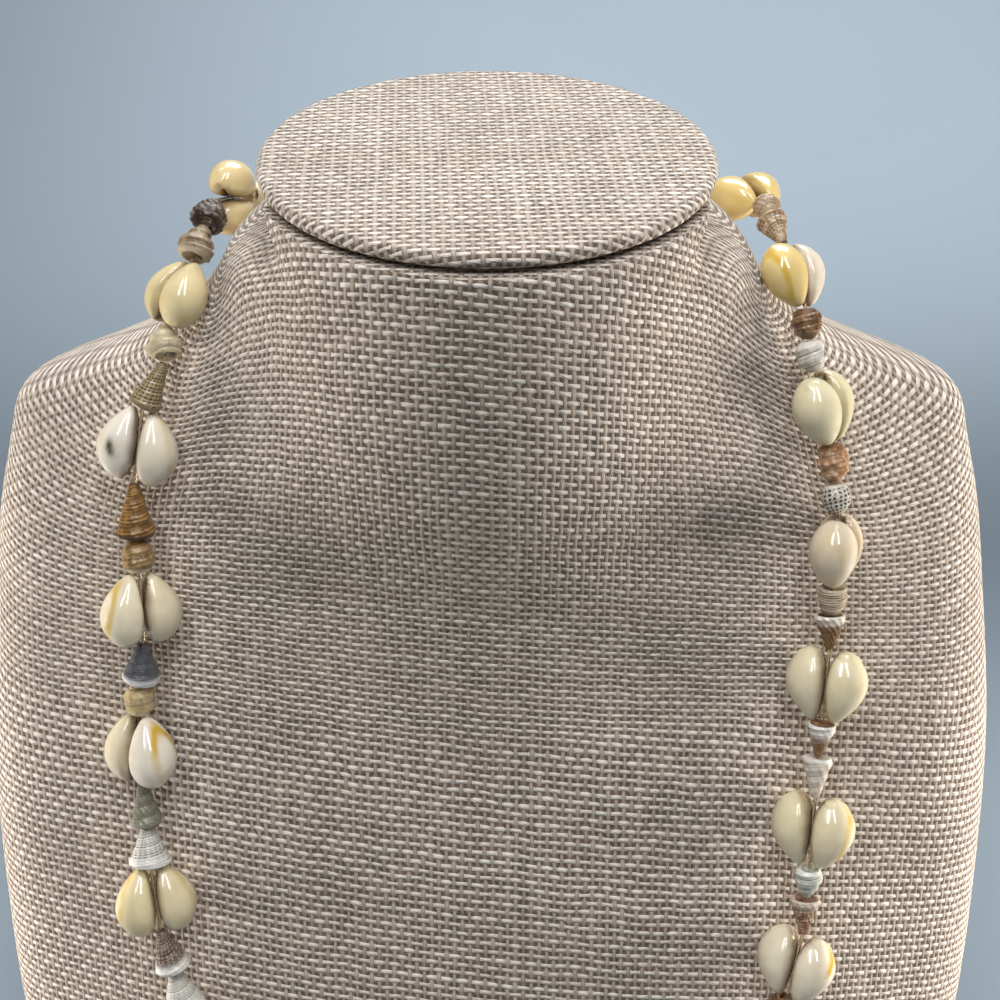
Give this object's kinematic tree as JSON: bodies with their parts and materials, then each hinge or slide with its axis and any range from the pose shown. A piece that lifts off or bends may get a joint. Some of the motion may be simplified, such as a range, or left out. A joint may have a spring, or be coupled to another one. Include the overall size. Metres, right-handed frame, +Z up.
{
  "type": "cowrie shell necklace on a neck bust",
  "caption": "Long loop of cowries strung in facing pairs with small cone and turban shells between, hung round a plain cloth-covered neck bust.",
  "frame": {"origin": "middle of the flat base that the bust stands on", "axes": "+Z up, the bust faces -Y, +X to the right as seen from the front"},
  "size_m": [0.2602, 0.1501, 0.3514],
  "materials": {
    "linen_cloth": "plain woven",
    "nylon_line": "clear",
    "cowrie_shell": "naturally glossy",
    "small_shells": "satin, ribbed"
  },
  "bodies": {
    "root": {"bust_form": "linen_cloth", "neck_cap": "linen_cloth", "thread": "nylon_line", "cowrie_pair_01": "cowrie_shell", "cowrie_pair_02": "cowrie_shell", "cowrie_pair_03": "cowrie_shell", "cowrie_pair_04": "cowrie_shell", "cowrie_pair_05": "cowrie_shell", "cowrie_pair_06": "cowrie_shell", "cowrie_pair_07": "cowrie_shell", "cowrie_pair_08": "cowrie_shell", "cowrie_pair_09": "cowrie_shell", "cowrie_pair_10": "cowrie_shell", "cowrie_pair_11": "cowrie_shell", "cowrie_pair_12": "cowrie_shell", "cowrie_pair_13": "cowrie_shell", "cowrie_pair_14": "cowrie_shell", "cowrie_pair_15": "cowrie_shell", "cowrie_pair_16": "cowrie_shell", "cowrie_pair_17": "cowrie_shell", "cowrie_pair_18": "cowrie_shell", "cowrie_pair_19": "cowrie_shell", "cowrie_pair_20": "cowrie_shell", "cowrie_pair_21": "cowrie_shell", "cowrie_pair_22": "cowrie_shell", "cowrie_pair_23": "cowrie_shell", "cowrie_pair_24": "cowrie_shell", "spacer_shells_left": "small_shells", "spacer_shells_right": "small_shells"}
  },
  "joints": []
}
